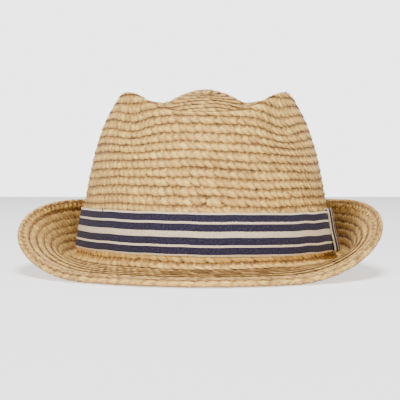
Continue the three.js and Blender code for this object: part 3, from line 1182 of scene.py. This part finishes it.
@dataclass
class StrawBody:
    """The sewn straw: one spiral of braid from the middle of the tip to the edge, and the edge row."""

    block: HatBlock
    crown_pitch: float = 5.5 * MM
    brim_pitch: float = 5.4 * MM
    edge_row: float = 7.7 * MM
    tip_hole: float = -1.5 * MM
    points_per_turn: int = 720
    crown_splits: tuple[float, ...] = (20.0, 13.0, 6.5, 0.0)
    edge_pitch: float = 4.3 * MM
    coarse: int = 6
    fibre_count: int = 150
    fibre_range: tuple[float, float] = (-160.0 * MM, -34.0 * MM)
    fibre_length: tuple[float, float] = (3.0, 11.0)
    fibre_heading: float = 0.5
    fibre_lift: tuple[float, float] = (0.4, 2.2)
    fibre_bend: float = 1.6
    fibre_root: float = 0.4 * MM
    fibre_radius: float = 0.09 * MM
    fibre_taper: float = 0.8
    fibre_tint: tuple[float, float] = (0.55, 0.9)

    def distance_at(self, turns: Array) -> Array:
        """Distance from the headline after a number of turns, which is below zero on the crown."""
        return turns * np.where(turns < 0, self.crown_pitch, self.brim_pitch)

    def spiral(self, first: float, last: float, coarse: int = 1) -> tuple[Array, Array]:
        """The braid's middle line between two counts of turns.

        Args:
            first: turns at its start, below zero on the crown.
            last: turns at its end.
            coarse: how many times fewer points than usual it has.

        Returns:
            Plan angles and distances.
        """
        turns = np.linspace(first, last, int((last - first) * self.points_per_turn / coarse))
        return turns * TURN + math.pi, self.distance_at(turns)

    def make(self, material: bpy.types.Material) -> list[bpy.types.Object]:
        """Crown, brim and edge row as separate pieces of plait, and the stray fibres.

        Args:
            material: the straw finish.

        Returns:
            The pieces.
        """
        tip = -(self.block.crown_length - self.tip_hole) / self.crown_pitch
        crown = [tip, *(-split for split in self.crown_splits)]
        outer = (self.block.brim_width - self.edge_row / 2) / self.brim_pitch
        brim = [0.0, outer / 2, outer]
        pieces = self.runs("crown", crown, self.crown_pitch, 10, material)
        pieces += self.runs("brim", brim, self.brim_pitch, 20, material)
        return [*pieces, self.edge(material), self.fibres(material)]

    def runs(
        self,
        part: str,
        turns: Sequence[float],
        pitch: float,
        first_seed: int,
        material: bpy.types.Material,
    ) -> list[bpy.types.Object]:
        """The runs of one part's braid, each its three strands and their backing.

        Args:
            part: crown or brim.
            turns: counts of turns where the runs begin and end.
            pitch: width of a row.
            first_seed: the runs' seeds follow on from this one.
            material: the finish.

        Returns:
            One piece for each run.
        """
        pieces = []
        for number, (first, last) in enumerate(zip(turns, turns[1:]), start=1):
            plait = Plait(self.block, seed=first_seed + number)
            skins = plait.strands(*self.spiral(first, last))
            skins.append(plait.backing(*self.spiral(first, last, self.coarse), pitch))
            piece = build_mesh(f"{part}_straw_{number}", skins, material)
            pieces.append(stand_in(piece, f"{part}_braid"))
        return pieces

    def edge(self, material: bpy.types.Material) -> bpy.types.Object:
        """The edge row: three plaits side by side, folded together round the wire.

        Args:
            material: the straw finish.

        Returns:
            The piece.
        """
        theta = np.linspace(-math.pi, math.pi, 2 * self.points_per_turn)
        skins = []
        for place in (-1, 0, 1):
            distance = np.full_like(theta, place * self.edge_pitch)
            skins += FoldedPlait(self.block, seed=31 + place).strands(theta, distance)
        return stand_in(build_mesh("edge_straw", skins, material), "brim_edge_braid")

    def fibres(self, material: bpy.types.Material) -> bpy.types.Object:
        """Stray fibres: thin curved hairs that have worked loose, as three-sided tapering tubes.

        Args:
            material: the straw finish.

        Returns:
            One piece with every fibre.
        """
        rng = np.random.default_rng(77)
        skins = []
        for _ in range(self.fibre_count):
            theta = rng.uniform(0.0, TURN)
            start = rng.uniform(*self.fibre_range)
            size = rng.uniform(*self.fibre_length) * MM
            share = np.linspace(0.0, 1.0, 7)
            heading = rng.uniform(-self.fibre_heading, self.fibre_heading)
            turn = size * math.cos(heading) * share / self.block.half_length
            down = size * math.sin(heading) * share
            lift = rng.uniform(*self.fibre_lift) * MM * share**self.fibre_bend - self.fibre_root
            corner = np.linspace(0.0, TURN, 3, endpoint=False)
            radius = self.fibre_radius * (1.0 - self.fibre_taper * share[:, None] ** 2)
            side = radius * np.cos(corner)[None, :]
            up = radius * np.sin(corner)[None, :]
            points = self.block.place(
                (theta + turn)[:, None] + 0.0 * side, (start + down)[:, None] + side, lift[:, None] + up
            )
            uv = np.stack([size * share[:, None] + 0.0 * side, side], axis=-1)
            tint = np.full(points.shape[:2], rng.uniform(*self.fibre_tint))
            skins.append(Skin(points, uv, tint, ends=True))
        piece = build_mesh("stray_fibres", skins, material)
        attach(piece, "root")
        return piece


# ---------------------------------------------------------------------------------------------
# Ribbon
# ---------------------------------------------------------------------------------------------


@dataclass
class Ribbon:
    """The striped ribbon round the crown, its keeper, and its tacks."""

    block: HatBlock
    width: float = 26.0 * MM
    thickness: float = 0.9 * MM
    gap: float = 0.3 * MM
    skew: float = 1.2 * MM
    keeper_angle: float = math.radians(69.0)
    keeper_width: float = 14.0 * MM
    keeper_rise: float = 1.8 * MM
    standoff_spread: float = math.radians(13.0)
    standoff_power: float = 4.0
    edge_wave: float = 0.22 * MM
    edge_wave_over: float = 0.12
    fullness: float = 0.10 * MM
    lift_wave: float = 0.12 * MM
    lift_wave_over: float = 0.3
    turns_counted: int = 540
    squareness: float = 8.0
    slack: float = 1.1 * MM
    bow: float = 0.25 * MM
    fold_start: float = 0.25
    fold_share: float = 0.47
    tack_radius: float = 0.28 * MM
    tack_drop: float = 2.6 * MM
    tack_length: float = 3.2 * MM
    tack_bend: float = 0.2 * MM
    tack_lift: float = 0.1 * MM

    @property
    def clearance(self) -> float:
        """Room behind the ribbon for the keeper's back leg."""
        return self.thickness + 2 * self.gap

    def keeper_theta(self, length: Array | float) -> Array:
        """Plan angle of a length along the headline, measured from the keeper's middle.

        Args:
            length: positive away from the front.

        Returns:
            Plan angles, like length.
        """
        across = self.block.half_width * math.cos(self.keeper_angle)
        along = self.block.half_length * math.sin(self.keeper_angle)
        return self.keeper_angle + np.asarray(length) / math.hypot(across, along)

    def rise(self, theta: Array | float) -> Array:
        """Height of the lower edge above the headline: lowest on the wearer's left."""
        return self.gap + self.skew * (1.0 - np.sin(theta))

    def standoff(self, theta: Array) -> Array:
        """How far the ribbon stands off the straw: snug, and wider at the keeper."""
        offset = np.mod(theta - self.keeper_angle + math.pi, TURN) - math.pi
        return self.gap + self.clearance * bell(offset, self.standoff_spread, self.standoff_power)

    def make(self, material: bpy.types.Material, thread: bpy.types.Material) -> list[bpy.types.Object]:
        """The band, the keeper and the tack stitches, in their two materials."""
        return [self.band(material), self.keeper(material), *self.tacks(thread)]

    def band(self, material: bpy.types.Material) -> bpy.types.Object:
        """One turn of ribbon whose ends meet under the keeper, as a thin closed strip.

        It leans on the straw's own unevenness with a slow small wave along each edge.

        Args:
            material: the ribbon finish.

        Returns:
            The piece.
        """
        rng = np.random.default_rng(5)
        start = float(self.keeper_theta(self.gap))
        end = float(self.keeper_theta(-self.gap)) + TURN
        theta = np.linspace(start, end, self.turns_counted)
        wave = self.edge_wave * wander(theta, self.edge_wave_over, rng)
        level_share = np.linspace(0.0, 1.0, 15)
        full = np.sin(math.pi * level_share) ** 0.5
        level = self.width * level_share[None, :] + (self.rise(theta) + wave)[:, None]
        lean = self.lift_wave * wander(theta, self.lift_wave_over, rng)
        soft = self.fullness * full[None, :] + lean[:, None]
        base = self.standoff(theta)[:, None] + soft
        outer = self.block.place(theta[:, None] + 0 * level, -level, base + self.thickness)
        inner = self.block.place(theta[:, None] + 0 * level, -level, base)
        points = np.concatenate([outer[:, ::-1], inner], axis=1)
        run = (theta - start)[:, None] * self.block.half_length
        outer_uv = np.stack([run + 0 * level, 1.0 - level_share[None, :] + 0 * level], axis=-1)
        uv = np.concatenate([outer_uv[:, ::-1], outer_uv], axis=1)
        piece = build_mesh("ribbon_band", [Skin(points, uv, ends=True)], material)
        stand_in(piece, "hat_ribbon")
        return piece

    def keeper(self, material: bpy.types.Material) -> bpy.types.Object:
        """The keeper: a loop of ribbon up the front of the band, over it, down behind and under.

        Its path in level and standoff is a rounded oblong, a little slack in front, and its width
        shows about half of the stripes.

        Args:
            material: the ribbon finish.

        Returns:
            The piece.
        """
        rise = float(self.rise(self.keeper_angle))
        low, high = rise - self.keeper_rise, rise + self.width + self.keeper_rise
        back = self.gap
        front = back + self.clearance + 2 * self.thickness + self.gap
        turn = np.linspace(0.0, TURN, 96, endpoint=False)
        power = self.squareness
        size = (np.abs(np.cos(turn)) ** power + np.abs(np.sin(turn)) ** power) ** (-1 / power)
        level = (low + high) / 2 + (high - low) / 2 * size * np.sin(turn)
        depth = (front + back) / 2 + (front - back) / 2 * size * np.cos(turn)
        forward = np.clip(np.cos(turn), 0, 1)
        slack = self.slack * forward * np.cos(math.pi * (level - low) / (high - low))
        across = np.linspace(-0.5, 0.5, 11)
        theta = self.keeper_theta(self.keeper_width * across)[None, :] + 0 * level[:, None]
        centre = np.array([(low + high) / 2, (front + back) / 2])
        inward = np.stack([level, depth], axis=1) - centre
        inward /= np.linalg.norm(inward, axis=1)[:, None]
        normal = np.stack([np.gradient(depth), -np.gradient(level)], axis=1)
        normal /= -np.linalg.norm(normal, axis=1)[:, None]
        normal *= np.sign((normal * inward).sum(axis=1))[:, None]
        depth = depth + np.clip(slack, 0.0, None)

        def face(inset: float) -> Array:
            """The loop's points at a depth within it.

            Args:
                inset: depth from the outer face.

            Returns:
                Rows of points across the loop.
            """
            lvl = (level - inset * normal[:, 0])[:, None] + 0 * theta
            bow = self.bow * (1 - (2 * across) ** 2)
            out = (depth - inset * normal[:, 1])[:, None] + bow[None, :]
            return self.block.place(theta, -lvl, out)

        outer, inner = face(0.0), face(self.thickness)
        points = np.concatenate([outer, inner[:, ::-1]], axis=1)
        run = np.cumsum(np.hypot(np.gradient(level), np.gradient(depth)))
        share = self.fold_start + across * self.fold_share
        outer_uv = np.stack([run[:, None] + 0 * theta, share[None, :] + 0 * theta], axis=-1)
        uv = np.concatenate([outer_uv, outer_uv[:, ::-1]], axis=1)
        skin = Skin(points[:, ::-1], uv[:, ::-1], close_rows=True)
        piece = build_mesh("ribbon_keeper_loop", [skin], material)
        stand_in(piece, "ribbon_keeper")
        return piece

    def tacks(self, material: bpy.types.Material) -> list[bpy.types.Object]:
        """Small thread tacks over the ribbon's top edge, each a short bent rod.

        Args:
            material: the thread finish.

        Returns:
            One piece for each tack.
        """
        pieces = []
        for number in (1, 2, 3):
            low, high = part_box(f"ribbon_tack_{number}")
            middle = (np.array(low) + np.array(high)) / 2
            x, y = middle[0] - self.block.centre_x, middle[1] - self.block.centre_y
            theta = math.atan2(x / self.block.half_width, -y / self.block.half_length)
            share = np.linspace(0.0, 1.0, 12)[:, None]
            corner = np.linspace(0.0, TURN, 8, endpoint=False)[None, :]
            foot = self.rise(theta) + self.width - self.tack_drop
            level = foot + self.tack_length * share + 0 * corner
            bend = self.tack_bend * np.sin(math.pi * share)
            lift = self.gap + self.thickness + bend + self.tack_lift
            side = self.tack_radius * np.cos(corner) / self.block.half_length
            points = self.block.place(
                theta + side + 0 * level, -level, lift + self.tack_radius * np.sin(corner) + 0 * level
            )
            uv = np.stack([self.tack_length * share + 0 * corner, corner / TURN + 0 * share], axis=-1)
            piece = build_mesh(f"tack_stitch_{number}", [Skin(points, uv, ends=True)], material)
            pieces.append(stand_in(piece, f"ribbon_tack_{number}"))
        return pieces


# ---------------------------------------------------------------------------------------------
# Lining
# ---------------------------------------------------------------------------------------------


@dataclass
class Lining:
    """The sweatband inside the headline, its stitches and its blank label."""

    block: HatBlock
    height: float = 34.0 * MM
    thickness: float = 1.1 * MM
    gap: float = 0.3 * MM
    stitch_level: float = 4.0 * MM
    stitch_length: float = 4.2 * MM
    stitch_gap: float = 1.2 * MM
    thread_radius: float = 0.3 * MM
    label_width: float = 30.0 * MM
    label_height: float = 18.0 * MM
    label_thickness: float = 0.6 * MM
    label_rise: float = 1.0 * MM
    label_bow: float = 0.5 * MM
    ripple_depth: float = 0.35 * MM

    @property
    def face(self) -> float:
        """Depth of the sweatband's inner face below the block."""
        return self.block.straw + self.gap + self.thickness

    def make(
        self, cloth: bpy.types.Material, thread: bpy.types.Material, label: bpy.types.Material
    ) -> list[bpy.types.Object]:
        """The band, its stitches and the label."""
        return [self.band(cloth), self.stitches(thread), self.label(label)]

    def band(self, material: bpy.types.Material) -> bpy.types.Object:
        """A closed band with a soft ripple that grows towards its free upper edge.

        Args:
            material: the cloth finish.

        Returns:
            The piece.
        """
        theta = np.linspace(0.0, TURN, 540, endpoint=False)
        share = np.linspace(0.0, 1.0, 15)
        ripple = np.sin(9 * theta) + 0.6 * np.sin(23 * theta + 1.0) + 0.4 * np.sin(41 * theta)
        inset = self.ripple_depth * (1.0 + ripple[:, None] / 2.0) * share[None, :] ** 2
        level = self.height * share[None, :] + 0 * inset
        face = self.face + inset
        outer = self.block.place(theta[:, None] + 0 * level, -level, self.thickness - face)
        inner = self.block.place(theta[:, None] + 0 * level, -level, -face)
        points = np.concatenate([outer[:, ::-1], inner], axis=1)
        run = theta[:, None] * self.block.half_length
        outer_uv = np.stack([run + 0 * level, level], axis=-1)
        uv = np.concatenate([outer_uv[:, ::-1], outer_uv], axis=1)
        piece = build_mesh("sweatband_cloth", [Skin(points, uv, close_rows=True)], material)
        stand_in(piece, "sweatband")
        return piece

    def stitches(self, material: bpy.types.Material) -> bpy.types.Object:
        """A row of running stitches, each a short rod that dips at both ends.

        Args:
            material: the thread finish.

        Returns:
            One piece with every stitch.
        """
        round_length = math.pi * (self.block.half_width + self.block.half_length)
        count = int(round_length / (self.stitch_length + self.stitch_gap))
        starts = np.arange(count) * TURN / count
        span = TURN / count * self.stitch_length / (self.stitch_length + self.stitch_gap)
        share = np.linspace(0.0, 1.0, 7)[:, None]
        corner = np.linspace(0.0, TURN, 6, endpoint=False)[None, :]
        skins = []
        for start in starts:
            theta = start + span * share + 0 * corner
            lift = -self.face - self.thread_radius * (0.2 + 1.1 * np.sin(math.pi * share))
            level = self.stitch_level + self.thread_radius * np.cos(corner) + 0 * share
            points = self.block.place(theta, -level, lift + self.thread_radius * np.sin(corner))
            uv = np.stack([self.stitch_length * share + 0 * corner, corner / TURN + 0 * share], -1)
            skins.append(Skin(points[:, ::-1], uv[:, ::-1], ends=True))
        piece = build_mesh("sweatband_stitches", skins, material)
        return stand_in(piece, "sweatband_stitching")

    def label(self, material: bpy.types.Material) -> bpy.types.Object:
        """The blank label at the back, a thin closed tab with a slight bow.

        Args:
            material: the tape finish.

        Returns:
            The piece.
        """
        half = self.label_width / 2 / self.block.half_width
        across = np.linspace(-1.0, 1.0, 25)[:, None]
        share = np.linspace(0.0, 1.0, 13)[None, :]
        theta = math.pi - half * across + 0 * share
        level = self.stitch_level + self.label_rise + self.label_height * share + 0 * across
        depth = self.face + self.gap + self.label_bow * share**2 * (1 - 0.4 * across**2)
        outer = self.block.place(theta, -level, -depth)
        inner = self.block.place(theta, -level, -depth - self.label_thickness)
        points = np.concatenate([outer, inner[:, ::-1]], axis=1)
        face_uv = np.stack([self.label_width * across / 2 + 0 * share, level], axis=-1)
        uv = np.concatenate([face_uv, face_uv[:, ::-1]], axis=1)
        piece = build_mesh("blank_label", [Skin(points, uv, ends=True)], material)
        stand_in(piece, "size_label")
        return piece


# ---------------------------------------------------------------------------------------------
# Studio
# ---------------------------------------------------------------------------------------------


class Side(Enum):
    """Where a soft light stands, in the hat's own axes."""

    LEFT = (-1.0, -1.3, 0.50)
    RIGHT = (1.1, -1.2, 0.45)
    TOP = (0.0, -0.3, 1.6)


@dataclass(frozen=True)
class SoftLight:
    """One square soft light."""

    side: Side
    power: float
    size: float

    def make(self, target: Array) -> None:
        """Places the light and turns it to the hat.

        Args:
            target: the point it faces.
        """
        data = bpy.data.lights.new(f"{self.side.name.lower()}_light", "AREA")
        data.energy = self.power
        data.size = self.size
        light = bpy.data.objects.new(data.name, data)
        place = np.array(self.side.value)
        light.location = place
        direction = Vector((target - place).tolist())
        light.rotation_euler = direction.to_track_quat("-Z", "Y").to_euler()
        bpy.context.scene.collection.objects.link(light)


@dataclass(frozen=True)
class Studio:
    """Floor, lights, backdrop and camera."""

    block: HatBlock
    ambient: float = 0.26
    backdrop_strength: float = 3.6
    camera_distance: float = 0.762
    camera_height: float = 0.070
    camera_aside: float = -0.0037
    camera_pitch: float = math.radians(2.03)
    lens: float = 101.7
    floor_half: float = 1.4
    floor_drop: float = 0.2 * MM
    aim_height: float = 50.0 * MM
    lights: tuple[SoftLight, ...] = (
        SoftLight(Side.LEFT, 21.0, 0.45),
        SoftLight(Side.RIGHT, 14.0, 0.45),
        SoftLight(Side.TOP, 36.0, 0.6),
    )

    @property
    def backdrop(self) -> dict[str, float]:
        """How the sky brightens towards straight behind the hat."""
        return {
            "From Min": 0.86,
            "From Max": 0.97,
            "To Min": self.ambient,
            "To Max": self.backdrop_strength,
        }

    def make(self) -> None:
        """Sets the whole studio."""
        self.camera()
        self.floor()
        self.sky()
        target = np.array([0.0, self.block.centre_y, self.aim_height])
        for light in self.lights:
            light.make(target)

    def camera(self) -> None:
        """The camera stands in front at the height of the crown's middle, looking slightly down."""
        data = bpy.data.cameras.new("camera")
        data.lens = self.lens
        data.clip_start = 0.01
        camera = bpy.data.objects.new("camera", data)
        camera.location = (
            self.block.centre_x + self.camera_aside,
            self.block.centre_y - self.camera_distance,
            self.camera_height,
        )
        camera.rotation_euler = (math.pi / 2 - self.camera_pitch, 0.0, 0.0)
        bpy.context.scene.collection.objects.link(camera)
        bpy.context.scene.camera = camera

    def floor(self) -> None:
        """A wide pale floor, a grid of quads."""
        line = np.linspace(-self.floor_half, self.floor_half, 5)
        x, y = np.meshgrid(line, line, indexing="ij")
        points = np.stack([x, y, np.full_like(x, -self.floor_drop)], axis=-1)
        skin = Skin(points, np.stack([x, y], axis=-1), close_columns=False)
        floor = build_mesh("studio_floor", [skin], FloorFinish().make())
        floor.data.flip_normals()

    def sky(self) -> None:
        """Even soft light from all round, and a bright backdrop behind the hat."""
        world = bpy.data.worlds.new("studio")
        world.use_nodes = True
        tree = world.node_tree
        background = tree.nodes["Background"]
        background.inputs["Color"].default_value = (1.0, 1.0, 1.0, 1.0)
        ways = tree.nodes.new("ShaderNodeTexCoord")
        apart = tree.nodes.new("ShaderNodeSeparateXYZ")
        band = tree.nodes.new("ShaderNodeMapRange")
        band.interpolation_type = "SMOOTHSTEP"
        for name, value in self.backdrop.items():
            band.inputs[name].default_value = value
        tree.links.new(ways.outputs["Generated"], apart.inputs["Vector"])
        tree.links.new(apart.outputs["Y"], band.inputs["Value"])
        tree.links.new(band.outputs["Result"], background.inputs["Strength"])
        bpy.context.scene.world = world


# ---------------------------------------------------------------------------------------------
# The hat
# ---------------------------------------------------------------------------------------------


def dress_wire() -> None:
    """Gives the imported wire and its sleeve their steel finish."""
    material = WireFinish().make()
    for name in ("brim_wire", "brim_wire_sleeve"):
        node = bpy.data.objects[name]
        node.data.materials.clear()
        node.data.materials.append(material)
        LOG.info("dressed %s", name)


def main() -> None:
    """Builds the studio and the hat, and reports each piece."""
    logging.basicConfig(level=logging.INFO, format="%(message)s")
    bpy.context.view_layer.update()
    low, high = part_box("crown_braid")
    block = HatBlock(
        half_width=(high[0] - low[0]) / 2,
        half_length=(high[1] - low[1]) / 2,
        centre_x=(high[0] + low[0]) / 2,
        centre_y=(high[1] + low[1]) / 2,
    )
    Studio(block).make()
    thread = ThreadFinish().make()
    sweatband_cloth = ClothFinish("sweatband_cotton", linear(226, 214, 188), linear(198, 183, 152))
    label_tape = ClothFinish("label_tape", linear(238, 235, 228), linear(216, 211, 200), 0.5 * MM)
    pieces = StrawBody(block).make(StrawFinish().make())
    dark_thread = ThreadFinish("ribbon_thread", linear(70, 64, 80), linear(46, 42, 54)).make()
    pieces += Ribbon(block).make(RibbonFinish().make(), dark_thread)
    pieces += Lining(block).make(sweatband_cloth.make(), thread, label_tape.make())
    dress_wire()
    for piece in pieces:
        LOG.info("%s: %d triangles", piece.name, len(piece.data.loops) - 2 * len(piece.data.polygons))


if __name__ == "__main__":
    main()
